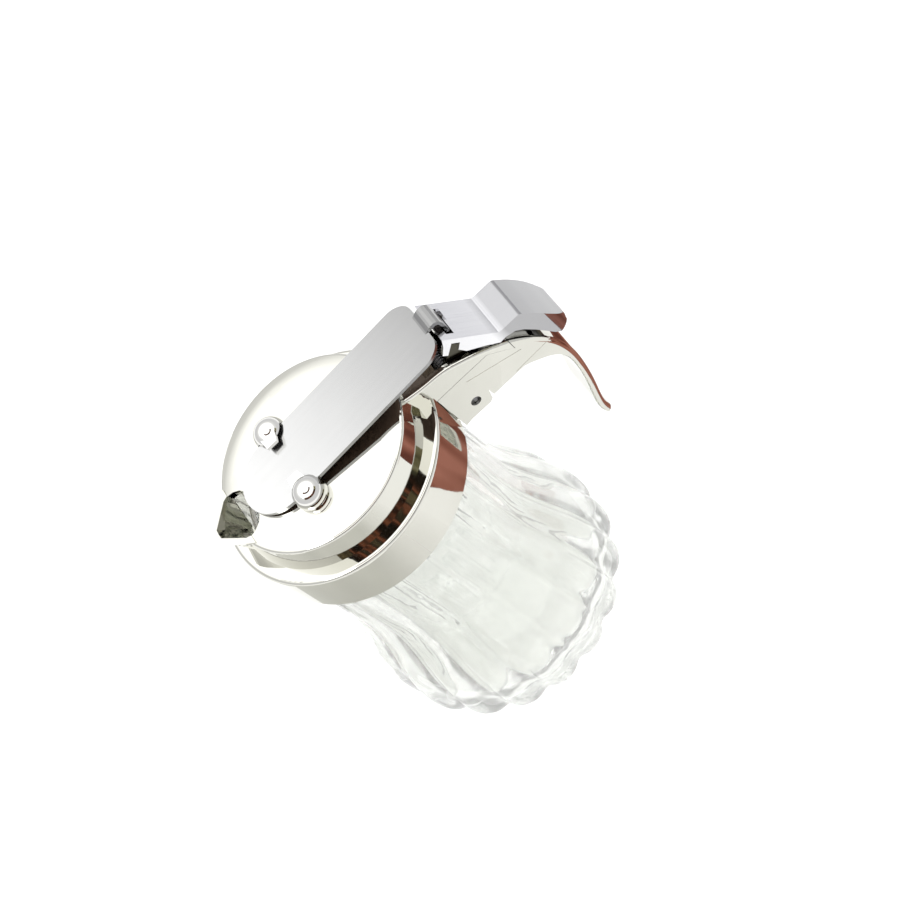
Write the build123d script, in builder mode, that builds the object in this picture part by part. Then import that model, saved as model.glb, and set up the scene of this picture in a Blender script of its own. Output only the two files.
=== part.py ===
from build123d import *
import os
from math import cos, radians, sin, tan

# Honey dispenser: a fluted bell-shaped glass jar with a chromed screw lid.
# The lid carries a pouring beak, a long flat gate plate held by two ball
# guides, a thumb lever on a pin with a torsion spring, and a hooked handle.
#
# Frame: +Z up, the jar stands on z = 0 and its axis is the Z axis.
# The beak points to -X and the handle to +X; XZ is the plane of symmetry.
# Stored pose: lever pressed, gate drawn back, pouring hole open.
# All lengths are in millimetres.

os.makedirs("parts", exist_ok=True)

# ------------------------------------------------------------ driving sizes
LEDGE_Z = 93.6            # flat ledge of the lid, between the two tiers
LID_TOP_Z = 102.0         # top face of the lid
SKIRT_Z = 78.2            # lower edge of the skirt
SKIRT_R_TOP = 32.2        # skirt outer radius under the ledge
SKIRT_R_LOW = 31.9        # skirt outer radius at its lower edge
TIER_R_TOP = 27.0         # upper tier, at the top face
TIER_R_LOW = 28.1         # upper tier, where it meets the ledge
SKIRT_BORE_R = 29.4       # inside of the skirt
LID_CAVITY_R = 25.2       # hollow under the top face
TOP_THICK = 2.0           # top plate of the lid
CROWN_R = 21.5            # the top face is flat up to here, then falls gently to the rim

GASKET_TOP_Z = 91.4
GASKET_T = 1.6
RIM_Z = GASKET_TOP_Z - GASKET_T      # mouth rim of the jar

NECK_R = 27.6             # thread core of the jar mouth
THREAD_R = 28.9           # crest of the jar thread
THREAD_PITCH = 5.0
MOUTH_R = 24.6            # inside radius of the jar mouth
LOBES = 18                # flutes round the jar

GATE_HALF_W = 10.6
GATE_FRONT_X = -20.0
GATE_REAR_X = 42.4
GATE_T = 1.0
GATE_LOW_Z = 102.15       # underside of the plate at its front tip
GATE_SLOPE = 4.0          # rise of the plate towards the lever, degrees

GUIDE_X = -5.25
GUIDE_Y = 11.5
GUIDE_Z = 103.1
GUIDE_R = 4.5

PIVOT_X = 38.25           # axis of the lever pin, along Y
PIVOT_Z = 92.0
PIN_R = 1.4
LEVER_HALF_W = 7.2
SHEET = 1.0
ARM_HALF_W = 7.5          # half width of the bracket and of the handle
CHANNEL_HALF_W = 5.75     # inside of the bracket's open channel
LUG_HALF_W = 6.1
RIM_ROUND = 1.2           # rounded outer rims of the handle and of the bracket
GROOVE = 0.12             # depth of the fine lines on the handle's sides
LUG_PIN_X = 37.7
LUG_PIN_Z = 80.9
LUG_PIN_R = 1.45


def slab(outline, y0, y1, mode=Mode.ADD):
    """Plate with the given XZ outline between y0 and y1, in the current part."""
    with BuildSketch(Plane.XZ.offset(-y1)) as face:
        with BuildLine():
            Polyline(*outline, close=True)
        make_face()
    extrude(face.sketch, amount=y1 - y0, mode=mode)


def thread_ridge(radius, reach, z_start, turns, half_root, half_crest):
    """Screw ridge on a right-hand helix; reach > 0 stands outward."""
    with BuildLine() as guide:
        Helix(THREAD_PITCH, THREAD_PITCH * turns, radius, center=(0, 0, z_start))
    path = guide.line
    sink = -0.4 if reach > 0 else 0.4
    with BuildSketch(Plane(origin=path @ 0, x_dir=(1, 0, 0), z_dir=path % 0)) as section:
        with BuildLine():
            Polyline((sink, -half_root), (sink, half_root), (reach, half_crest),
                     (reach, -half_crest), close=True)
        make_face()
    sweep(section.sketch, path=path, is_frenet=True)


# ------------------------------------------------------------------ the jar
# Bell profile: neck under the lid, waist, belly, rounded scalloped foot.
BODY = [  # height, radius over the ribs, depth of the valleys between them
    (78.4, 28.9, 0.50),
    (64.0, 29.0, 0.80),
    (54.0, 29.1, 1.00),
    (46.0, 29.6, 1.20),
    (36.7, 31.6, 1.50),
    (25.2, 35.2, 1.90),
    (16.0, 37.2, 2.20),
    (9.0, 37.8, 2.35),
    (3.5, 37.2, 2.20),
    (1.0, 35.7, 1.80),
    (0.0, 33.6, 1.20),
]
# how far the surface lies below the rib's crest, valley to valley, in parts of the depth
RIB_SHAPE = [1.0, 0.42, 0.10, 0.0, 0.10, 0.42]


def scallops(r_rib, depth):
    points = []
    for k in range(LOBES):
        for j, part in enumerate(RIB_SHAPE):
            deg = (k + j / len(RIB_SHAPE)) * 360.0 / LOBES
            r = r_rib - depth * part
            points.append((r * cos(radians(deg)), r * sin(radians(deg))))
    return points


FLUTED_TOP = BODY[0][0]
rings = []
for height, r_rib, depth in BODY:
    with BuildSketch(Plane.XY.offset(height)) as ring:
        with BuildLine():
            Spline(*scallops(r_rib, depth), periodic=True)
        make_face()
    rings.append(ring.sketch)
with BuildPart() as fluted:
    loft(rings)
flutes = fluted.faces().filter_by(GeomType.PLANE, reverse=True)
end_low, end_top = fluted.faces().filter_by(GeomType.PLANE).sort_by(Axis.Z)
# flat rings that close the fluted wall at the shoulder and at the foot
shoulder = Face(end_top.outer_wire(), [Wire.make_circle(28.0, Plane.XY.offset(FLUTED_TOP))])
standing = Face(end_low.outer_wire(), [Wire.make_circle(28.8, Plane.XY)])
# neck, rim, bore and floor in one line, then the hollow underside
with BuildLine(Plane.XZ) as inner_line:
    Polyline((28.0, FLUTED_TOP), (NECK_R, 79.2), (NECK_R, RIM_Z - 0.8), (NECK_R - 0.8, RIM_Z),
             (MOUTH_R + 0.6, RIM_Z), (MOUTH_R, RIM_Z - 0.6), (MOUTH_R, 60.0))
    Spline((MOUTH_R, 60.0), (25.5, 49.0), (28.2, 37.0), (31.6, 25.0), (33.3, 14.0),
           (32.2, 8.0), (29.0, 5.2), (24.0, 4.6), tangents=((0, -1), (-1, 0)))
    Line((24.0, 4.6), (0, 4.2))
with BuildLine(Plane.XZ) as under_line:
    Polyline((28.8, 0.0), (26.0, 1.0), (0, 1.4))
round_faces = [Face.revolve(edge, 360, Axis.Z)
               for edge in inner_line.edges() + under_line.edges()]
glass = Solid(Shell([*flutes, shoulder, standing, *round_faces]))

with BuildPart() as jar:
    add(glass)
    # external screw thread
    thread_ridge(NECK_R, THREAD_R - NECK_R, 82.2, 1.05, 1.0, 0.5)
jar.part.label = "glass_jar"
export_step(jar.part, "parts/glass_jar.step")

# --------------------------------------------------------------- the gasket
with BuildPart() as gasket:
    with BuildSketch(Plane.XY.offset(RIM_Z)):
        Circle(SKIRT_BORE_R - 0.4)
        Circle(24.9, mode=Mode.SUBTRACT)
    extrude(amount=GASKET_T)
gasket.part.label = "lid_gasket"
export_step(gasket.part, "parts/lid_gasket.step")

# ------------------------------------------------------------- the lid body
BEAK_TOP = [(-24.0, 10.2), (-26.4, 8.3), (-28.4, 6.3), (-30.3, 4.2), (-31.6, 2.3),
            (-32.0, 0.9), (-32.0, -0.9), (-31.6, -2.3), (-30.3, -4.2), (-28.4, -6.3),
            (-26.4, -8.3), (-24.0, -10.2)]
BEAK_LOW = [(-24.0, 9.6), (-25.6, 7.8), (-26.7, 5.9), (-27.6, 3.9), (-28.3, 2.1),
            (-28.6, 0.8), (-28.6, -0.8), (-28.3, -2.1), (-27.6, -3.9), (-26.7, -5.9),
            (-25.6, -7.8), (-24.0, -9.6)]
HOLE_TOP = [(-30.9, 1.5), (-31.0, 0.0), (-30.9, -1.5), (-25.4, -7.0), (-24.0, -7.55),
            (-22.2, -7.2), (-20.4, -6.1), (-19.3, -4.4), (-18.9, 0.0), (-19.3, 4.4),
            (-20.4, 6.1), (-22.2, 7.2), (-24.0, 7.55), (-25.4, 7.0)]
HOLE_LOW = [(-25.4, 1.5), (-25.5, 0.0), (-25.4, -1.5), (-22.4, -5.6), (-21.3, -6.1),
            (-19.9, -6.0), (-18.6, -5.2), (-17.8, -3.8), (-17.5, 0.0), (-17.8, 3.8),
            (-18.6, 5.2), (-19.9, 6.0), (-21.3, 6.1), (-22.4, 5.6)]

# outline of the rear bracket above the parting line, and of the lug below it
BRACKET_LOW = [(20.0, 99.7), (20.0, 91.0), (48.0, 91.1), (52.1, 87.7), (54.0, 85.8), (54.05, 89.0)]
BRACKET_TOP = [(54.05, 89.0), (51.3, 90.9), (47.4, 93.4), (44.6, 94.9), (42.4, 95.9), (39.1, 97.3),
               (34.6, 98.2), (32.4, 98.35), (30.2, 98.65), (28.0, 99.05), (25.6, 99.6)]
LUG = [(26.0, 78.7), (41.3, 78.7), (41.3, 85.0), (45.5, 91.05), (26.0, 91.05)]
FLOOR_Z = 88.0            # floor of the bracket's channel
CHANNEL = [(33.2, 120.0), (33.2, FLOOR_Z), (41.6, FLOOR_Z), (46.8, 93.2), (49.6, 96.0), (49.6, 120.0)]

with BuildPart() as bracket:
    with BuildSketch(Plane.XZ) as bracket_side:
        with BuildLine():
            Polyline(*BRACKET_LOW)
            Spline(*BRACKET_TOP, tangents=((-1.45, 1.0), (-1.0, 0.25)))
            Line(BRACKET_TOP[-1], BRACKET_LOW[0])
        make_face()
    extrude(bracket_side.sketch, amount=ARM_HALF_W, both=True)
    fillet(bracket.edges().filter_by(GeomType.BSPLINE), RIM_ROUND - 0.2)

with BuildPart() as lid:
    # outer shell of revolution
    with BuildSketch(Plane.XZ):
        with BuildLine():
            Line((0, LID_TOP_Z), (CROWN_R, LID_TOP_Z))
            ThreePointArc((CROWN_R, LID_TOP_Z), (24.0, LID_TOP_Z - 0.107),
                          (TIER_R_TOP - 0.8, LID_TOP_Z - 0.38))
            ThreePointArc((TIER_R_TOP - 0.8, LID_TOP_Z - 0.38), (TIER_R_TOP - 0.25, LID_TOP_Z - 0.68),
                          (TIER_R_TOP, LID_TOP_Z - 1.3))
            Polyline((TIER_R_TOP, LID_TOP_Z - 1.3), (TIER_R_LOW, LEDGE_Z),
                     (SKIRT_R_TOP - 1.2, LEDGE_Z))
            ThreePointArc((SKIRT_R_TOP - 1.2, LEDGE_Z), (SKIRT_R_TOP - 0.351, LEDGE_Z - 0.351),
                          (SKIRT_R_TOP, LEDGE_Z - 1.2))
            Polyline((SKIRT_R_TOP, LEDGE_Z - 1.2), (SKIRT_R_LOW, SKIRT_Z + 0.4),
                     (SKIRT_R_LOW - 0.4, SKIRT_Z), (SKIRT_BORE_R + 0.4, SKIRT_Z),
                     (SKIRT_BORE_R, SKIRT_Z + 0.4), (SKIRT_BORE_R, GASKET_TOP_Z),
                     (LID_CAVITY_R, GASKET_TOP_Z), (LID_CAVITY_R - 0.6, LID_TOP_Z - TOP_THICK),
                     (0, LID_TOP_Z - TOP_THICK), (0, LID_TOP_Z))
        make_face()
    revolve(axis=Axis.Z)
    # pouring beak
    with BuildSketch(Plane.XY.offset(LID_TOP_Z)) as beak_top:
        with BuildLine():
            Polyline(*BEAK_TOP, close=True)
        make_face()
    with BuildSketch(Plane.XY.offset(LEDGE_Z - 0.5)) as beak_low:
        with BuildLine():
            Polyline(*BEAK_LOW, close=True)
        make_face()
    loft([beak_low.sketch, beak_top.sketch], ruled=True)
    # rear bracket with its lug
    add(bracket.part)
    slab(LUG, -LUG_HALF_W, LUG_HALF_W)
    # hollow and bore again, where beak and bracket ran into them
    with BuildSketch(Plane.XZ) as hollow:
        with BuildLine():
            Polyline((0, 70), (SKIRT_BORE_R, 70), (SKIRT_BORE_R, GASKET_TOP_Z),
                     (LID_CAVITY_R, GASKET_TOP_Z), (LID_CAVITY_R - 0.6, LID_TOP_Z - TOP_THICK),
                     (0, LID_TOP_Z - TOP_THICK), (0, 70))
        make_face()
    revolve(hollow.sketch, axis=Axis.Z, mode=Mode.SUBTRACT)
    # pouring hole, funnelled into the hollow
    with BuildSketch(Plane.XY.offset(LID_TOP_Z + 0.01)) as hole_top:
        with BuildLine():
            Polyline(*HOLE_TOP, close=True)
        make_face()
    with BuildSketch(Plane.XY.offset(LEDGE_Z - 0.2)) as hole_low:
        with BuildLine():
            Polyline(*HOLE_LOW, close=True)
        make_face()
    loft([hole_low.sketch, hole_top.sketch], ruled=True, mode=Mode.SUBTRACT)
    # deck between the bracket walls, and the open channel for lever and spring
    slab([(28.6, 120.0), (28.6, 96.6), (33.3, 96.2), (33.3, 120.0)],
         -CHANNEL_HALF_W, CHANNEL_HALF_W, mode=Mode.SUBTRACT)
    slab(CHANNEL, -CHANNEL_HALF_W, CHANNEL_HALF_W, mode=Mode.SUBTRACT)
    # seats of the lever pin: through on the far side, blind on the near side
    with Locations(Location((PIVOT_X, -7.0, PIVOT_Z), (-90, 0, 0))):
        Cylinder(PIN_R, 20.0, align=(Align.CENTER, Align.CENTER, Align.MIN), mode=Mode.SUBTRACT)
    # hole of the handle pin through the lug
    with Locations(Location((LUG_PIN_X, 0, LUG_PIN_Z), (90, 0, 0))):
        Cylinder(LUG_PIN_R, 2 * LUG_HALF_W + 2, mode=Mode.SUBTRACT)
    # rivet holes of the two guides
    with Locations((GUIDE_X, GUIDE_Y, LID_TOP_Z - 1), (GUIDE_X, -GUIDE_Y, LID_TOP_Z - 1)):
        Cylinder(1.5, 4.0, mode=Mode.SUBTRACT)
    # internal screw thread
    thread_ridge(SKIRT_BORE_R, 28.1 - SKIRT_BORE_R, 80.0, 1.05, 1.0, 0.5)
lid.part.label = "lid_shell"
export_step(lid.part, "parts/lid_shell.step")

# -------------------------------------------------- ball guides of the gate
TAB_Z = 105.25            # underside of the guide tabs


def ball_guide(side):
    """side = -1 near, +1 far; the tab points inward over the plate."""
    with BuildPart() as made:
        with Locations((GUIDE_X, side * GUIDE_Y, GUIDE_Z)):
            Sphere(GUIDE_R)
        # flat seat on the lid
        with Locations((GUIDE_X, side * GUIDE_Y, LID_TOP_Z)):
            Box(20, 20, 20, align=(Align.CENTER, Align.CENTER, Align.MAX), mode=Mode.SUBTRACT)
        # notch for the edge of the plate
        with Locations((GUIDE_X, 0, LID_TOP_Z - 0.5)):
            Box(20, 2 * (GATE_HALF_W + 0.15), TAB_Z - LID_TOP_Z + 0.5,
                align=(Align.CENTER, Align.CENTER, Align.MIN), mode=Mode.SUBTRACT)
        # tab over the plate
        with BuildSketch(Plane.XY.offset(TAB_Z)) as tab:
            with BuildLine():
                Polyline((-4.2, side * 5.9), (-3.3, side * 8.8), (-2.9, side * 11.4),
                         (-7.7, side * 11.4), (-7.7, side * 8.8), (-7.4, side * 5.9), close=True)
            make_face()
        extrude(tab.sketch, amount=1.0)
        # rivet shank through the top plate, with its peened head below
        with Locations((GUIDE_X, side * GUIDE_Y, LID_TOP_Z + 0.1)):
            Cylinder(1.48, TOP_THICK + 0.3, align=(Align.CENTER, Align.CENTER, Align.MAX))
        with Locations((GUIDE_X, side * GUIDE_Y, LID_TOP_Z - TOP_THICK)):
            Cylinder(2.3, 0.7, align=(Align.CENTER, Align.CENTER, Align.MAX))
    return made.part


near_guide = ball_guide(-1)
near_guide.label = "guide_near"
export_step(near_guide, "parts/guide_near.step")
far_guide = ball_guide(1)
far_guide.label = "guide_far"
export_step(far_guide, "parts/guide_far.step")

# ----------------------------------------------------------- the gate plate
TONGUE_HALF_W = 3.5


def gate_z(x):
    """Underside of the sloping plate."""
    return GATE_LOW_Z + (x - GATE_FRONT_X) * tan(radians(GATE_SLOPE))


REAR_Z = gate_z(GATE_REAR_X)
TONGUE = [(41.3, gate_z(41.3) + 0.3), (42.1, REAR_Z + 0.35), (42.42, 107.05), (43.1, 107.2),
          (43.9, 107.3), (44.7, 107.3), (45.25, 107.0), (45.45, 106.3), (45.45, 102.9),
          (45.6, 102.6), (46.0, 102.5), (46.3, 102.7), (46.3, 106.5), (46.1, 107.4),
          (45.5, 108.1), (44.6, 108.4), (43.8, 108.4), (43.1, 108.25), (42.5, 107.95),
          (41.9, 107.58), (41.3, gate_z(41.3) + GATE_T - 0.02)]

with BuildPart() as gate:
    # sloping sheet, then its outline cut from above
    slab([(GATE_FRONT_X - 1, gate_z(GATE_FRONT_X - 1)), (GATE_REAR_X, REAR_Z),
          (GATE_REAR_X, REAR_Z + GATE_T), (GATE_FRONT_X - 1, gate_z(GATE_FRONT_X - 1) + GATE_T)],
         -GATE_HALF_W - 1, GATE_HALF_W + 1)
    front_c = GATE_FRONT_X + GATE_HALF_W
    with BuildSketch(Plane.XY.offset(95)) as outline:
        with BuildLine():
            Line((front_c, -GATE_HALF_W), (36.4, -GATE_HALF_W))
            Spline((36.4, -GATE_HALF_W), (40.4, -9.4), (GATE_REAR_X, -5.6),
                   tangents=((1, 0), (0, 1)))
            Line((GATE_REAR_X, -5.6), (GATE_REAR_X, 5.6))
            Spline((GATE_REAR_X, 5.6), (40.4, 9.4), (36.4, GATE_HALF_W),
                   tangents=((0, 1), (-1, 0)))
            Line((36.4, GATE_HALF_W), (front_c, GATE_HALF_W))
            ThreePointArc((front_c, GATE_HALF_W), (GATE_FRONT_X, 0), (front_c, -GATE_HALF_W))
        make_face()
    extrude(outline.sketch, amount=20, mode=Mode.INTERSECT)
    # rolled tongue over the lever's cross bar, its leg down through the slot
    slab(TONGUE, -TONGUE_HALF_W, TONGUE_HALF_W)
gate.part.label = "gate_plate"
export_step(gate.part, "parts/gate_plate.step")

# ---------------------------------------------------------- the thumb lever
# side view at the stored (pressed) pose
FLAT_O = (43.1, 106.3)        # front end of the flat's top line
FLAT_A = (0.664, -0.748)      # along the flat, towards the pad
FLAT_N = (0.748, 0.664)       # normal of the flat
SLOT_A, SLOT_B = 2.9, 6.0     # slot for the tongue, measured along the flat
LEVER_FRONT = [(60.0, 93.7), (54.9, 93.7), (54.2, 93.9), (43.43, 105.93), (42.45, 103.75), (40.75, 101.55),
               (41.7, 100.3), (44.45, 102.75), (46.05, 100.95), (44.5, 99.35), (45.6, 96.9), (47.9, 95.0),
               (49.7, 93.5),
               (52.7, 90.6), (54.6, 90.8), (57.2, 90.0), (58.9, 88.3), (61.0, 84.9), (62.9, 81.1),
               (63.9, 79.1), (65.1, 77.8), (67.1, 78.1)]
LEVER_PAD = [(60.0, 93.7), (61.7, 92.65), (63.4, 90.4), (65.2, 87.4), (66.9, 84.1), (68.2, 81.2),
             (68.6, 79.7), (68.2, 78.6), (67.1, 78.1)]
INNER_FRONT = [(59.8, 92.7), (54.6, 92.7), (53.75, 92.9), (42.69, 105.27), (41.0, 106.0), (38.0, 98.0),
               (50.0, 86.0), (62.0, 76.0), (64.6, 79.6), (65.3, 79.0), (66.5, 79.15)]
INNER_PAD = [(59.8, 92.7), (61.0, 91.9), (62.55, 89.85), (64.35, 86.9), (66.0, 83.7), (67.25, 80.9),
             (67.45, 80.0), (67.1, 79.4), (66.5, 79.15)]
EAR = [(45.62, 102.45), (49.3, 98.3), (40.4, 89.9), (38.9, 89.07), (36.7, 89.45),
       (35.3, 91.3), (35.8, 93.6)]
EYE_R = 3.0


def on_flat(s, n):
    return (FLAT_O[0] + FLAT_A[0] * s + FLAT_N[0] * n, FLAT_O[1] + FLAT_A[1] * s + FLAT_N[1] * n)


with BuildPart() as lever:
    with BuildSketch(Plane.XZ) as lever_side:
        with BuildLine():
            Polyline(*LEVER_FRONT)
            Spline(*LEVER_PAD, tangents=((1, 0), (-1, -0.1)))
        make_face()
    extrude(lever_side.sketch, amount=LEVER_HALF_W, both=True)
    # rounded corners of the thumb pad
    with BuildSketch(Plane.XY.offset(70)) as plan:
        with BuildLine():
            Polyline((65.0, -LEVER_HALF_W), (40.0, -LEVER_HALF_W), (40.0, LEVER_HALF_W),
                     (65.0, LEVER_HALF_W))
            ThreePointArc((65.0, LEVER_HALF_W), (67.9, 6.0), (69.0, 3.0))
            Line((69.0, 3.0), (69.0, -3.0))
            ThreePointArc((69.0, -3.0), (67.9, -6.0), (65.0, -LEVER_HALF_W))
        make_face()
    extrude(plan.sketch, amount=50, mode=Mode.INTERSECT)
    # hollow between the two side flanges
    with BuildSketch(Plane.XZ) as lever_hollow:
        with BuildLine():
            Polyline(*INNER_FRONT)
            Spline(*INNER_PAD, tangents=((1, 0), (-1, -0.1)))
        make_face()
    extrude(lever_hollow.sketch, amount=LEVER_HALF_W - SHEET, both=True, mode=Mode.SUBTRACT)
    # ears that reach down to the pin
    slab(EAR, -5.5, -4.3)
    slab(EAR, 4.3, 5.5)
    with Locations(Location((PIVOT_X, 0, PIVOT_Z), (90, 0, 0))):
        Cylinder(EYE_R, 11.0)
        Cylinder(EYE_R + 0.6, 8.6, mode=Mode.SUBTRACT)
        Cylinder(PIN_R + 0.05, 20.0, mode=Mode.SUBTRACT)
    # slot behind the cross bar
    slab([on_flat(SLOT_A, -1.4), on_flat(SLOT_A, 0.6), on_flat(SLOT_B, 0.6),
          on_flat(SLOT_B, -1.4)], -5.0, 5.0, mode=Mode.SUBTRACT)
lever.part.label = "thumb_lever"
export_step(lever.part, "parts/thumb_lever.step")

# ------------------------------------------------------------ the lever pin
with BuildPart() as pin:
    with Locations(Location((PIVOT_X, -6.95, PIVOT_Z), (-90, 0, 0))):
        Cylinder(PIN_R, 14.25, align=(Align.CENTER, Align.CENTER, Align.MIN))
    chamfer(pin.edges().filter_by(GeomType.CIRCLE), 0.2)
pin.part.label = "lever_pin"
export_step(pin.part, "parts/lever_pin.step")

# ------------------------------------------------------- the torsion spring
WIRE_R = 0.4
COIL_R = 2.1
COIL_PITCH = 0.95
COIL_TURNS = 6 - 48.4 / 360.0     # the last end leaves square to the lever's flat
with BuildLine() as coil_line:
    Helix(COIL_PITCH, COIL_PITCH * COIL_TURNS, COIL_R)
coil_path = Location((PIVOT_X, 2.78, PIVOT_Z), (90, 0, 0)) * coil_line.line

with BuildPart() as spring:
    with BuildSketch(Plane(origin=coil_path @ 0, z_dir=coil_path % 0)) as wire_face:
        Circle(WIRE_R)
    sweep(wire_face.sketch, path=coil_path, is_frenet=True)
    with Locations(coil_path @ 0, coil_path @ 1):
        Sphere(WIRE_R + 0.05)
    # leg down to the floor of the channel
    with BuildSketch(Plane(origin=coil_path @ 0, z_dir=(0, 0, -1))) as low_end:
        Circle(WIRE_R)
    extrude(low_end.sketch, amount=PIVOT_Z - FLOOR_Z)
    # leg up against the underside of the lever's flat
    with BuildSketch(Plane(origin=coil_path @ 1, z_dir=(FLAT_N[0], 0, FLAT_N[1]))) as up_end:
        Circle(WIRE_R)
    extrude(up_end.sketch, amount=12.1)
spring.part.label = "torsion_spring"
export_step(spring.part, "parts/torsion_spring.step")

# --------------------------------------------------------------- the handle
with BuildPart() as handle:
    with BuildSketch(Plane.XZ) as side_view:
        with BuildLine():
            Polyline((26.0, 90.9), (48.05, 91.0), (52.15, 87.6), (54.15, 85.65), (54.2, 88.85))
            Spline((54.2, 88.85), (57.2, 85.9), (59.8, 82.5), (61.7, 79.2), (63.2, 74.6),
                   (63.8, 70.0), (63.7, 65.0), (63.1, 60.0), (62.0, 54.0), (60.6, 48.0),
                   (59.9, 44.0), (60.0, 41.0))
            Line((60.0, 41.0), (58.2, 40.2))
            Spline((58.2, 40.2), (57.7, 44.0), (58.5, 48.9), (59.9, 54.6), (61.0, 60.2),
                   (61.5, 65.0), (61.4, 68.6), (60.4, 71.5), (58.4, 73.9), (56.0, 75.6),
                   (53.4, 77.2), (50.6, 78.1))
            Polyline((50.6, 78.1), (42.0, 78.1), (41.9, 80.8), (41.0, 77.4), (39.9, 76.7),
                     (33.5, 76.8), (30.9, 76.2), (26.0, 76.2), (26.0, 90.9))
        make_face()
    extrude(side_view.sketch, amount=ARM_HALF_W, both=True)
    # rounded rims along the two sides of the hook
    rims = handle.edges().filter_by(GeomType.BSPLINE)
    fillet(rims.filter_by(lambda e: (e @ 0.5).X > 62.5), RIM_ROUND)
    fillet(handle.edges().filter_by(GeomType.BSPLINE).filter_by(
        lambda e: 60.0 < (e @ 0.5).X < 62.0 and abs(abs((e @ 0.5).Y) - ARM_HALF_W) < 0.01), 0.6)
    # mould line across the root of the hook, and the edge of the shallow side panel
    for low, high in ((-ARM_HALF_W, -ARM_HALF_W + GROOVE), (ARM_HALF_W - GROOVE, ARM_HALF_W)):
        slab([(50.0, 78.58), (63.0, 79.23), (63.0, 79.41), (50.0, 78.76)], low, high,
             mode=Mode.SUBTRACT)
        slab([(39.7, 88.72), (54.9, 83.66), (54.9, 83.82), (39.7, 88.88)], low, high,
             mode=Mode.SUBTRACT)
    # seat round the skirt, and the pocket for the lid's lug
    with Locations((0, 0, 60)):
        Cylinder(SKIRT_R_TOP + 0.08, 60, align=(Align.CENTER, Align.CENTER, Align.MIN),
                 mode=Mode.SUBTRACT)
    slab([(24.0, 70.0), (41.6, 70.0), (41.6, 84.9), (45.9, 91.2), (47.0, 93.0), (24.0, 93.0)],
         -LUG_HALF_W - 0.05, LUG_HALF_W + 0.05, mode=Mode.SUBTRACT)
    with Locations(Location((LUG_PIN_X, 0, LUG_PIN_Z), (90, 0, 0))):
        Cylinder(LUG_PIN_R, 30, mode=Mode.SUBTRACT)
    # room for the lever pin at the parting line, open on the far side only
    with Locations(Location((PIVOT_X, -7.05, PIVOT_Z), (-90, 0, 0))):
        Cylinder(PIN_R + 0.1, 20, align=(Align.CENTER, Align.CENTER, Align.MIN), mode=Mode.SUBTRACT)
handle.part.label = "handle"
export_step(handle.part, "parts/handle.step")

# ----------------------------------------------------------- the handle pin
with BuildPart() as lug_pin:
    with Locations(Location((LUG_PIN_X, 0, LUG_PIN_Z), (90, 0, 0))):
        Cylinder(LUG_PIN_R, 13.2)
    chamfer(lug_pin.edges().filter_by(GeomType.CIRCLE), 0.2)
lug_pin.part.label = "handle_pin"
export_step(lug_pin.part, "parts/handle_pin.step")
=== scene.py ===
import bpy, bmesh
import numpy as np
from math import radians, cos, sin, pi, sqrt, floor
from mathutils import Vector, Matrix


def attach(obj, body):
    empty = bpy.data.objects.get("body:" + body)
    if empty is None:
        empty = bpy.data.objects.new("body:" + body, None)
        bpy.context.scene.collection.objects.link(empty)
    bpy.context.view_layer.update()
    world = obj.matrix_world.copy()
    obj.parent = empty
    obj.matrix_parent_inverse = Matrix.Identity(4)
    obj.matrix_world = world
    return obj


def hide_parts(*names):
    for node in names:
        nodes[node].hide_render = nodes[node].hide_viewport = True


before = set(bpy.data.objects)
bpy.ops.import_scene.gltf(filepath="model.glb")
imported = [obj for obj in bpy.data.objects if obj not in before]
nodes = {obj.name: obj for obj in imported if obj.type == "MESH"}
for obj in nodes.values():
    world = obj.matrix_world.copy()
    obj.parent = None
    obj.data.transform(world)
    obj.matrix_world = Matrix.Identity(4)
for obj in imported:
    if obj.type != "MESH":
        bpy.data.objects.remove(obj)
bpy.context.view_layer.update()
MM = 0.001


# ------------------------------------------------------------------ camera
def make_camera():
    right = Vector((0.7271, -0.4675, -0.5029))
    up = Vector((0.6746, 0.6231, 0.3962))
    back = Vector((0.1282, -0.6272, 0.7683))
    back.normalize()
    right = (right - back * right.dot(back)).normalized()
    up = back.cross(right)
    cam = bpy.data.cameras.new("camera")
    cam.sensor_width = 36.0
    cam.sensor_fit = "HORIZONTAL"
    cam.lens = 36.0 * 1994.0 / 900.0
    cam.clip_start = 0.02
    cam.clip_end = 20.0
    ob = bpy.data.objects.new("camera", cam)
    bpy.context.scene.collection.objects.link(ob)
    m = Matrix.Identity(4)
    for i in range(3):
        m[i][0], m[i][1], m[i][2] = right[i], up[i], back[i]
    m[0][3], m[1][3], m[2][3] = 0.08855, -0.32465, 0.46223
    ob.matrix_world = m
    bpy.context.scene.camera = ob
    return ob


camera = make_camera()


# --------------------------------------------------------------- materials
def new_material(name):
    m = bpy.data.materials.new(name)
    m.use_nodes = True
    nt = m.node_tree
    nt.nodes.clear()
    out = nt.nodes.new("ShaderNodeOutputMaterial")
    bsdf = nt.nodes.new("ShaderNodeBsdfPrincipled")
    nt.links.new(bsdf.outputs[0], out.inputs[0])
    return m, nt, bsdf


def noise(nt, scale, detail=3.0, rough=0.5, coords=None, stretch=None):
    tex = nt.nodes.new("ShaderNodeTexNoise")
    tex.inputs["Scale"].default_value = scale
    tex.inputs["Detail"].default_value = detail
    tex.inputs["Roughness"].default_value = rough
    src = nt.nodes.new("ShaderNodeTexCoord")
    if stretch:
        mp = nt.nodes.new("ShaderNodeMapping")
        mp.inputs["Scale"].default_value = stretch
        nt.links.new(src.outputs["Object"], mp.inputs["Vector"])
        nt.links.new(mp.outputs[0], tex.inputs["Vector"])
    else:
        nt.links.new(src.outputs["Object"], tex.inputs["Vector"])
    return tex


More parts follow.
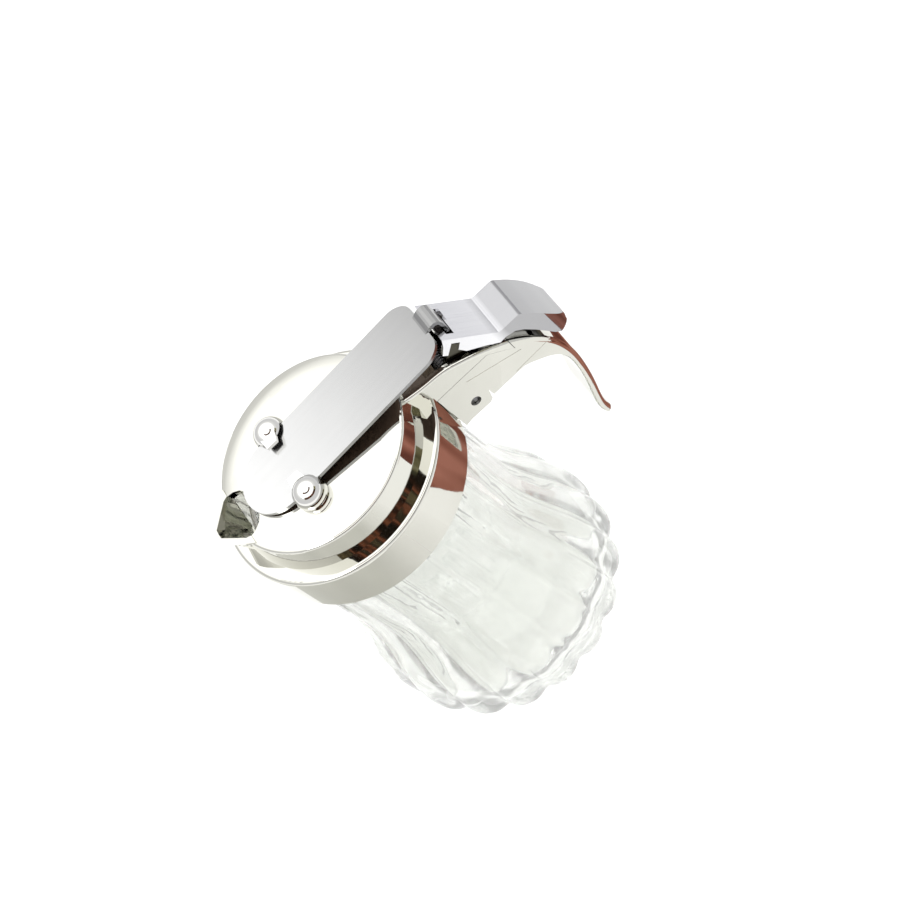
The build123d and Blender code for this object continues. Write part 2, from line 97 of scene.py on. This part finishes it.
def ramp(nt, src, stops):
    r = nt.nodes.new("ShaderNodeValToRGB")
    els = r.color_ramp.elements
    while len(els) < len(stops):
        els.new(0.5)
    for e, (pos, col) in zip(els, stops):
        e.position = pos
        e.color = col
    nt.links.new(src, r.inputs[0])
    return r


def spread(nt, src, lo, hi, to_lo, to_hi):
    mr = nt.nodes.new("ShaderNodeMapRange")
    mr.inputs["From Min"].default_value = lo
    mr.inputs["From Max"].default_value = hi
    mr.inputs["To Min"].default_value = to_lo
    mr.inputs["To Max"].default_value = to_hi
    nt.links.new(src, mr.inputs["Value"])
    return mr


def bump(nt, bsdf, height, strength, distance):
    b = nt.nodes.new("ShaderNodeBump")
    b.inputs["Strength"].default_value = strength
    b.inputs["Distance"].default_value = distance
    nt.links.new(height, b.inputs["Height"])
    nt.links.new(b.outputs[0], bsdf.inputs["Normal"])
    return b


def chrome(name, warm=(0.70, 0.69, 0.655), dull=(0.66, 0.65, 0.61), r_lo=0.02, r_hi=0.06, wave=0.05):
    """Plated casting: faint tone drift, fingerprint haze, slight ripple and fine pits."""
    m, nt, bsdf = new_material(name)
    tone = noise(nt, 55.0, 4.0)
    c = ramp(nt, tone.outputs["Fac"], [(0.35, (*dull, 1)), (0.65, (*warm, 1))])
    nt.links.new(c.outputs[0], bsdf.inputs["Base Color"])
    bsdf.inputs["Metallic"].default_value = 1.0
    haze = noise(nt, 160.0, 6.0, 0.6)
    mr = spread(nt, haze.outputs["Fac"], 0.35, 0.75, r_lo, r_hi)
    nt.links.new(mr.outputs[0], bsdf.inputs["Roughness"])
    ripple = noise(nt, 70.0, 2.0)
    fine = noise(nt, 900.0, 2.0)
    add = nt.nodes.new("ShaderNodeMath")
    add.operation = "MULTIPLY_ADD"
    nt.links.new(fine.outputs["Fac"], add.inputs[0])
    add.inputs[1].default_value = 0.06
    nt.links.new(ripple.outputs["Fac"], add.inputs[2])
    bump(nt, bsdf, add.outputs[0], wave, 0.0006)
    return m


def sheet_steel(name, tint=(0.80, 0.805, 0.82), r_lo=0.16, r_hi=0.26, grain=(40.0, 900.0, 40.0), fade=None,
                relief=0.05, edge_shade=None, under=None):
    """Rolled, lightly brushed plate with tiny specks and soft handling marks; on request also painted shade:
    darker towards the rear end, a dark outline along the edges, a dark underside and dark inner faces.
    """
    m, nt, bsdf = new_material(name)
    tone = noise(nt, 30.0, 3.0)
    lo = tuple(v * 0.94 for v in tint)
    c = ramp(nt, tone.outputs["Fac"], [(0.3, (*lo, 1)), (0.7, (*tint, 1))])
    if fade:
        # painted shade: the tint darkens towards the rear end, under the lever and the hand: from x, to x, share
        # of the tint left there
        pos = nt.nodes.new("ShaderNodeTexCoord")
        axis = nt.nodes.new("ShaderNodeSeparateXYZ")
        nt.links.new(pos.outputs["Object"], axis.inputs[0])
        run = spread(nt, axis.outputs["X"], fade[0], fade[1], 0.0, 1.0)
        drift = ramp(nt, run.outputs[0], [(0.0, (1, 1, 1, 1)), (1.0, (fade[2], fade[2], fade[2], 1))])
        mul = nt.nodes.new("ShaderNodeMix")
        mul.data_type = "RGBA"
        mul.blend_type = "MULTIPLY"
        mul.inputs[0].default_value = 1.0
        nt.links.new(c.outputs[0], mul.inputs[6])
        nt.links.new(drift.outputs[0], mul.inputs[7])
        tone_and_shade = mul.outputs[2]
    else:
        tone_and_shade = c.outputs[0]
    if edge_shade:
        # painted shade: faces that turn from the top towards the side are darkened to the given grey, drawing a
        # dark outline along the edges
        geo = nt.nodes.new("ShaderNodeNewGeometry")
        up = nt.nodes.new("ShaderNodeSeparateXYZ")
        nt.links.new(geo.outputs["Normal"], up.inputs[0])
        turn = spread(nt, up.outputs["Z"], 0.97, 0.80, 0.0, 1.0)
        edge_shade_mix = nt.nodes.new("ShaderNodeMix")
        edge_shade_mix.data_type = "RGBA"
        nt.links.new(turn.outputs[0], edge_shade_mix.inputs[0])
        nt.links.new(tone_and_shade, edge_shade_mix.inputs[6])
        edge_shade_mix.inputs[7].default_value = (edge_shade, edge_shade, edge_shade, 1)
        # painted shade: the underside is turned dark brown and mostly non-metallic, standing in for the shade in
        # the gap beneath the plate
        down = spread(nt, up.outputs["Z"], -0.5, -0.8, 0.0, 1.0)
        back = nt.nodes.new("ShaderNodeMix")
        back.data_type = "RGBA"
        nt.links.new(down.outputs[0], back.inputs[0])
        nt.links.new(edge_shade_mix.outputs[2], back.inputs[6])
        back.inputs[7].default_value = (0.15, 0.105, 0.085, 1)
        tone_and_shade = back.outputs[2]
    if under:
        # painted shade on the inner faces, inside the ears and under the flat: (half width, normal of the flat,
        # its height along that normal)
        half_w, normal, height = under
        place = nt.nodes.new("ShaderNodeTexCoord")
        along = nt.nodes.new("ShaderNodeVectorMath")
        along.operation = "DOT_PRODUCT"
        along.inputs[1].default_value = normal
        nt.links.new(place.outputs["Object"], along.inputs[0])
        below = spread(nt, along.outputs["Value"], height - 0.0012, height - 0.0017, 0.0, 1.0)
        parts = nt.nodes.new("ShaderNodeSeparateXYZ")
        nt.links.new(place.outputs["Object"], parts.inputs[0])
        side = nt.nodes.new("ShaderNodeMath")
        side.operation = "ABSOLUTE"
        nt.links.new(parts.outputs["Y"], side.inputs[0])
        inward = spread(nt, side.outputs[0], half_w, half_w - 0.0002, 0.0, 1.0)
        both = nt.nodes.new("ShaderNodeMath")
        both.operation = "MULTIPLY"
        nt.links.new(below.outputs[0], both.inputs[0])
        nt.links.new(inward.outputs[0], both.inputs[1])
        inner_shade_mix = nt.nodes.new("ShaderNodeMix")
        inner_shade_mix.data_type = "RGBA"
        nt.links.new(both.outputs[0], inner_shade_mix.inputs[0])
        nt.links.new(tone_and_shade, inner_shade_mix.inputs[6])
        inner_shade_mix.inputs[7].default_value = (0.075, 0.07, 0.055, 1)
        tone_and_shade = inner_shade_mix.outputs[2]
    specks = noise(nt, 1500.0, 2.0, 0.7)
    dark = ramp(nt, specks.outputs["Fac"], [(0.745, (0, 0, 0, 1)), (0.80, (1, 1, 1, 1))])
    mix = nt.nodes.new("ShaderNodeMix")
    mix.data_type = "RGBA"
    nt.links.new(dark.outputs[0], mix.inputs[0])
    nt.links.new(tone_and_shade, mix.inputs[6])
    mix.inputs[7].default_value = (0.30, 0.30, 0.31, 1)
    nt.links.new(mix.outputs[2], bsdf.inputs["Base Color"])
    bsdf.inputs["Metallic"].default_value = 1.0
    # painted shade continued: the underside keeps only a little of its metal
    if edge_shade:
        underside_shade_metal = spread(nt, up.outputs["Z"], -0.5, -0.8, 1.0, 0.2)
        nt.links.new(underside_shade_metal.outputs[0], bsdf.inputs["Metallic"])
    brush = noise(nt, 1.0, 4.0, 0.6, stretch=grain)
    mr = spread(nt, brush.outputs["Fac"], 0.3, 0.7, r_lo, r_hi)
    nt.links.new(mr.outputs[0], bsdf.inputs["Roughness"])
    bump(nt, bsdf, brush.outputs["Fac"], relief, 0.0002)
    return m


def dark_wire(name):
    m, nt, bsdf = new_material(name)
    tone = noise(nt, 600.0, 4.0)
    c = ramp(nt, tone.outputs["Fac"], [(0.35, (0.10, 0.10, 0.105, 1)), (0.7, (0.24, 0.24, 0.25, 1))])
    nt.links.new(c.outputs[0], bsdf.inputs["Base Color"])
    bsdf.inputs["Metallic"].default_value = 1.0
    mr = spread(nt, tone.outputs["Fac"], 0.3, 0.7, 0.18, 0.38)
    nt.links.new(mr.outputs[0], bsdf.inputs["Roughness"])
    bump(nt, bsdf, tone.outputs["Fac"], 0.15, 0.0001)
    return m


def seal_rubber(name):
    m, nt, bsdf = new_material(name)
    tone = noise(nt, 220.0, 5.0)
    c = ramp(nt, tone.outputs["Fac"], [(0.3, (0.74, 0.72, 0.67, 1)), (0.7, (0.84, 0.82, 0.78, 1))])
    nt.links.new(c.outputs[0], bsdf.inputs["Base Color"])
    mr = spread(nt, tone.outputs["Fac"], 0.3, 0.7, 0.45, 0.65)
    nt.links.new(mr.outputs[0], bsdf.inputs["Roughness"])
    bump(nt, bsdf, tone.outputs["Fac"], 0.2, 0.0002)
    return m


def pressed_glass(name):
    """Clear soda glass with a breath of green and the slow ripple of pressed ware."""
    m, nt, bsdf = new_material(name)
    tone = noise(nt, 18.0, 2.0)
    c = ramp(nt, tone.outputs["Fac"], [(0.3, (0.83, 0.845, 0.815, 1)), (0.7, (0.88, 0.89, 0.865, 1))])
    nt.links.new(c.outputs[0], bsdf.inputs["Base Color"])
    bsdf.inputs["Transmission Weight"].default_value = 1.0
    bsdf.inputs["IOR"].default_value = 1.47
    bsdf.inputs["Alpha"].default_value = 0.86
    smear = noise(nt, 90.0, 5.0, 0.6)
    mr = spread(nt, smear.outputs["Fac"], 0.45, 0.8, 0.0, 0.04)
    nt.links.new(mr.outputs[0], bsdf.inputs["Roughness"])
    ripple = noise(nt, 95.0, 2.5, 0.5)
    bump(nt, bsdf, ripple.outputs["Fac"], 0.16, 0.0008)
    return m


MAT = {
    "chrome": chrome("plated_casting", warm=(0.65, 0.645, 0.595), dull=(0.62, 0.615, 0.565)),
    "ball": chrome("plated_ball", warm=(0.76, 0.755, 0.73), dull=(0.72, 0.715, 0.69), r_lo=0.015,
                   r_hi=0.05, wave=0.05),
    # painted shade in the steel: the gate darkens towards its rear end and gets a dark outline and underside, the
    # lever darkens towards its pad and on its inner faces
    "gate": sheet_steel("gate_steel", tint=(0.67, 0.67, 0.665), r_lo=0.17, r_hi=0.22,
                        fade=(-0.018, 0.042, 0.48), relief=0.012, edge_shade=0.30),
    "lever": sheet_steel("lever_steel", tint=(0.80, 0.80, 0.82), r_lo=0.08, r_hi=0.18,
                         grain=(60.0, 1000.0, 60.0), fade=(0.0525, 0.0560, 0.50), relief=0.02,
                         under=(0.0061, (0.748, 0.0, 0.664), 0.10282)),
    "wire": dark_wire("spring_wire"),
    "seal": seal_rubber("gasket_rubber"),
    "glass": pressed_glass("pressed_glass"),
}


def dress(ob, mat):
    ob.data.materials.clear()
    ob.data.materials.append(mat)


# ---------------------------------------------------------------- the jar
LOBES = 18
# height, radius over the ribs, depth of the valleys
BODY = [(78.4, 28.9, 0.50), (64.0, 29.0, 0.80), (54.0, 29.1, 1.00), (46.0, 29.6, 1.20),
        (36.7, 31.6, 1.50), (25.2, 35.2, 1.90), (16.0, 37.2, 2.20), (9.0, 37.8, 2.35),
        (3.5, 37.2, 2.20), (1.0, 35.7, 1.80), (0.0, 33.6, 1.20)]


def smooth_line(points, n):
    """Centripetal Catmull-Rom through the points, n samples per span."""
    p = [np.array(q, float) for q in points]
    p = [2 * p[0] - p[1]] + p + [2 * p[-1] - p[-2]]
    out = []
    for i in range(1, len(p) - 2):
        p0, p1, p2, p3 = p[i - 1], p[i], p[i + 1], p[i + 2]
        t0 = 0.0
        t1 = t0 + max(np.linalg.norm(p1[:2] - p0[:2]), 1e-6) ** 0.5
        t2 = t1 + max(np.linalg.norm(p2[:2] - p1[:2]), 1e-6) ** 0.5
        t3 = t2 + max(np.linalg.norm(p3[:2] - p2[:2]), 1e-6) ** 0.5
        for k in range(n):
            t = t1 + (t2 - t1) * k / n
            a1 = (t1 - t) / (t1 - t0) * p0 + (t - t0) / (t1 - t0) * p1
            a2 = (t2 - t) / (t2 - t1) * p1 + (t - t1) / (t2 - t1) * p2
            a3 = (t3 - t) / (t3 - t2) * p2 + (t - t2) / (t3 - t2) * p3
            b1 = (t2 - t) / (t2 - t0) * a1 + (t - t0) / (t2 - t0) * a2
            b2 = (t3 - t) / (t3 - t1) * a2 + (t - t1) / (t3 - t1) * a3
            out.append((t2 - t) / (t2 - t1) * b1 + (t - t1) / (t2 - t1) * b2)
    out.append(p[-2])
    return out


def mesh_object(name, verts, faces, mat, smooth=True, body=None):
    me = bpy.data.meshes.new(name)
    me.from_pydata([tuple(v) for v in verts], [], faces)
    me.update()
    if smooth:
        me.polygons.foreach_set("use_smooth", [True] * len(me.polygons))
    ob = bpy.data.objects.new(name, me)
    bpy.context.scene.collection.objects.link(ob)
    if mat:
        me.materials.append(mat)
    if body:
        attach(ob, body)
    return ob


def lathe(name, rows, columns, mat, body, close_start=True, close_end=True):
    """rows: list of (function radius(theta), z) in mm; the grid is closed at both ends."""
    verts, faces = [], []
    for rad, z in rows:
        for j in range(columns):
            th = 2 * pi * j / columns
            r = rad(th) if callable(rad) else rad
            verts.append((r * cos(th) * MM, r * sin(th) * MM, z * MM))
    n = columns
    for i in range(len(rows) - 1):
        for j in range(n):
            a, b = i * n + j, i * n + (j + 1) % n
            faces.append((a, b, b + n, a + n))
    if close_start:
        verts.append((0, 0, rows[0][1] * MM))
        c = len(verts) - 1
        for j in range(n):
            faces.append((c, (j + 1) % n, j))
    if close_end:
        verts.append((0, 0, rows[-1][1] * MM))
        c = len(verts) - 1
        base = (len(rows) - 1) * n
        for j in range(n):
            faces.append((c, base + j, base + (j + 1) % n))
    return mesh_object(name, verts, faces, mat, True, body)


def rib(th):
    """0 on a rib's crest, 1 in the bottom of a valley."""
    c = abs(cos(LOBES * th / 2.0))
    return 0.72 * c ** 5 + 0.28 * c * c


def make_jar():
    rows = []
    # hollow underside, then the standing ring
    for r, z in ((4.0, 1.38), (12.0, 1.3), (20.0, 1.15), (25.0, 0.95), (27.6, 0.55), (28.8, 0.12)):
        rows.append((r, z))
    rows.append((30.2, 0.0))
    line = smooth_line([(r, z, d) for z, r, d in reversed(BODY)], 9)
    for r, z, d in line:
        rows.append(((lambda r, d: (lambda th: r - d * rib(th)))(r, d), z))
    # shoulder under the lid's edge
    rows += [(28.25, 78.55), (28.0, 78.7), (27.75, 79.0), (27.6, 79.3), (27.6, 80.0)]

    # neck with its screw ridge
    def screw(z):
        def f(th):
            best = 0.0
            for k in (0, 1):
                turn = (th / (2 * pi)) % 1.0 + k
                if turn > 1.05:
                    continue
                mid = 82.2 + 5.0 * turn
                d = abs(z - mid)
                h = max(0.0, min(1.0, (1.0 - d) / 0.5))
                fade = min(1.0, turn / 0.04, (1.05 - turn) / 0.04)
                best = max(best, h * max(fade, 0.0))
            s = best * best * (3 - 2 * best)
            return 27.6 + 1.3 * s
        return f
    z = 80.4
    while z < 88.9:
        rows.append((screw(z), z))
        z += 0.25
    rows += [(27.6, 89.0), (27.45, 89.45), (27.1, 89.72), (26.6, 89.8), (25.3, 89.8),
             (24.85, 89.65), (24.62, 89.2), (24.6, 88.0), (24.6, 80.0), (24.6, 70.0)]
    inner = smooth_line([(24.6, 60.0), (25.5, 49.0), (28.2, 37.0), (31.6, 25.0), (33.3, 14.0),
                         (32.2, 8.0), (29.0, 5.2), (24.0, 4.6), (18.0, 4.4), (12.0, 4.3), (5.0, 4.2)], 8)
    rows += [(r, z) for r, z in inner]
    ob = lathe("jar_glass", rows, LOBES * 20, MAT["glass"], "jar")
    ob.visible_shadow = False
    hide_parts("glass_jar")
    return ob


make_jar()

# ----------------------------------------------------- finishes of the metal
for name in ("lid_shell", "handle"):
    dress(nodes[name], MAT["chrome"])
for name in ("guide_near", "guide_far"):
    dress(nodes[name], MAT["ball"])
dress(nodes["gate_plate"], MAT["gate"])
dress(nodes["thumb_lever"], MAT["lever"])
for name in ("lever_pin", "handle_pin", "torsion_spring"):
    dress(nodes[name], MAT["wire"])
dress(nodes["lid_gasket"], MAT["seal"])


def soften(name, width, angle=30.0, segments=3):
    """Round the edges of a metal piece and smooth what lies between them."""
    ob = nodes[name]
    b = ob.modifiers.new("edges", "BEVEL")
    b.width = width * MM
    b.segments = segments
    b.limit_method = "ANGLE"
    b.angle_limit = radians(angle)
    b.use_clamp_overlap = True
    b.harden_normals = False
    for poly in ob.data.polygons:
        poly.use_smooth = True
    w = ob.modifiers.new("normals", "WEIGHTED_NORMAL")
    w.keep_sharp = True


for name, width in (("gate_plate", 0.14), ("thumb_lever", 0.22)):
    soften(name, width, 35.0, 2)


# ------------------------------------------------------- floor and lighting
def make_stage():
    m, nt, bsdf = new_material("floor_paper")
    tone = noise(nt, 8.0, 3.0)
    c = ramp(nt, tone.outputs["Fac"], [(0.3, (0.44, 0.44, 0.44, 1)), (0.7, (0.46, 0.46, 0.46, 1))])
    nt.links.new(c.outputs[0], bsdf.inputs["Base Color"])
    bsdf.inputs["Roughness"].default_value = 0.95
    bsdf.inputs["Specular IOR Level"].default_value = 0.05
    bsdf.inputs["Emission Color"].default_value = (1, 1, 0.985, 1)
    bsdf.inputs["Emission Strength"].default_value = 0.58
    s = 4.0
    fl = mesh_object("floor", [(-s, -s, 0), (s, -s, 0), (s, s, 0), (-s, s, 0)], [(0, 1, 2, 3)], m, False)
    fl.location.z = -0.0002

    # soft white room, brightest overhead
    world = bpy.data.worlds.new("studio")
    bpy.context.scene.world = world
    world.use_nodes = True
    nt = world.node_tree
    nt.nodes.clear()
    out = nt.nodes.new("ShaderNodeOutputWorld")
    bg = nt.nodes.new("ShaderNodeBackground")
    nt.links.new(bg.outputs[0], out.inputs[0])
    co = nt.nodes.new("ShaderNodeTexCoord")
    sep = nt.nodes.new("ShaderNodeSeparateXYZ")
    nt.links.new(co.outputs["Generated"], sep.inputs[0])
    sky = ramp(nt, sep.outputs["Z"], [(0.0, (0.45, 0.45, 0.463, 1)), (0.34, (0.45, 0.45, 0.455, 1)),
                                      (0.55, (0.55, 0.55, 0.55, 1)), (0.68, (0.94, 0.94, 0.94, 1)),
                                      (0.74, (1.0, 1.0, 1.0, 1))])
    nt.links.new(sky.outputs[0], bg.inputs["Color"])
    bg.inputs["Strength"].default_value = 1.80

    def area(name, loc, aim, size, power, color=(1, 1, 1), shape="DISK"):
        li = bpy.data.lights.new(name, "AREA")
        li.shape = shape
        li.size = size
        li.energy = power
        li.color = color
        ob = bpy.data.objects.new(name, li)
        bpy.context.scene.collection.objects.link(ob)
        ob.location = loc
        ob.rotation_euler = (Vector(loc) - Vector(aim)).to_track_quat("Z", "Y").to_euler()
        return ob

    area("key_light", (-0.6, -0.3, 0.8), (0, 0, 0.07), 0.35, 2.2)

    # cards that only the gloss of the object sees: dark and warm streaks for the plating
    def card(name, verts, faces, stops, scale, stretch):
        cm, ct, cb = new_material(name)
        tone = noise(ct, scale, 1.0, 0.5, stretch=stretch)
        cr = ramp(ct, tone.outputs["Fac"], stops)
        ct.links.new(cr.outputs[0], cb.inputs["Base Color"])
        cb.inputs["Roughness"].default_value = 0.8
        cb.inputs["Specular IOR Level"].default_value = 0.1
        ob = mesh_object(name, verts, faces, cm, False)
        ob.visible_camera = False
        ob.visible_diffuse = False
        ob.visible_transmission = False
        ob.visible_shadow = False
        return ob

    def arc_card(name, az0, az1, el0, el1, dist, stops, scale, stretch):
        """Band of card bent round the lid, between two azimuths and two elevations."""
        verts, faces = [], []
        n = 24
        for i in range(n + 1):
            a = radians(az0 + (az1 - az0) * i / n)
            for el in (el0, el1):
                e = radians(el)
                verts.append((dist * cos(a) * cos(e), dist * sin(a) * cos(e), 0.095 + dist * sin(e)))
        for i in range(n):
            faces.append((2 * i, 2 * i + 2, 2 * i + 3, 2 * i + 1))
        return card(name, verts, faces, stops, scale, stretch)

    brown = [(0.38, (0.012, 0.007, 0.004, 1)), (0.46, (0.06, 0.022, 0.012, 1)), (0.53, (0.24, 0.085, 0.045, 1)),
             (0.58, (0.03, 0.02, 0.012, 1)), (0.66, (0.13, 0.10, 0.055, 1))]
    olive = [(0.38, (0.05, 0.045, 0.025, 1)), (0.5, (0.20, 0.18, 0.10, 1)), (0.62, (0.42, 0.41, 0.30, 1))]
    warm = [(0.36, (0.10, 0.030, 0.020, 1)), (0.5, (0.20, 0.070, 0.048, 1)), (0.64, (0.33, 0.135, 0.10, 1))]
    arc_card("brown_low", -140, -38, 25, 37, 0.45, brown, 13.0, (1.0, 1.0, 0.35))
    arc_card("olive_low", -38, -12, 25, 37, 0.45, olive, 12.0, (1.0, 1.0, 0.35))
    arc_card("brown_high", -158, -12, 59.5, 68.0, 0.42, brown, 13.0, (1.0, 1.0, 0.35))
    ring, quads = [], []
    for i in range(25):
        th = radians(-190 + 130 * i / 24)
        ring += [(0.048 * cos(th), 0.048 * sin(th), 0.010), (0.18 * cos(th), 0.18 * sin(th), 0.010)]
    for i in range(24):
        quads.append((2 * i, 2 * i + 1, 2 * i + 3, 2 * i + 2))
    shade = card("shade_low", ring, quads, [(0.3, (0.47, 0.47, 0.445, 1)), (0.7, (0.54, 0.54, 0.51, 1))], 20.0,
                 (1.0, 1.0, 1.0))
    # its right end thins out
    ct = shade.data.materials[0].node_tree
    cb = next(k for k in ct.nodes if k.type == "BSDF_PRINCIPLED")
    pos = ct.nodes.new("ShaderNodeTexCoord")
    axis = ct.nodes.new("ShaderNodeSeparateXYZ")
    ct.links.new(pos.outputs["Object"], axis.inputs[0])
    thin = spread(ct, axis.outputs["X"], 0.045, -0.045, 0.0, 1.0)
    ct.links.new(thin.outputs[0], cb.inputs["Alpha"])
    card("warm_low", [(0.066, -0.085, 0.012), (0.185, -0.070, 0.03), (0.190, 0.055, 0.03), (0.072, 0.060, 0.012)],
         [(0, 1, 2, 3)], warm, 30.0, (1.0, 1.0, 1.0))


make_stage()
bpy.context.scene.view_settings.view_transform = "Standard"
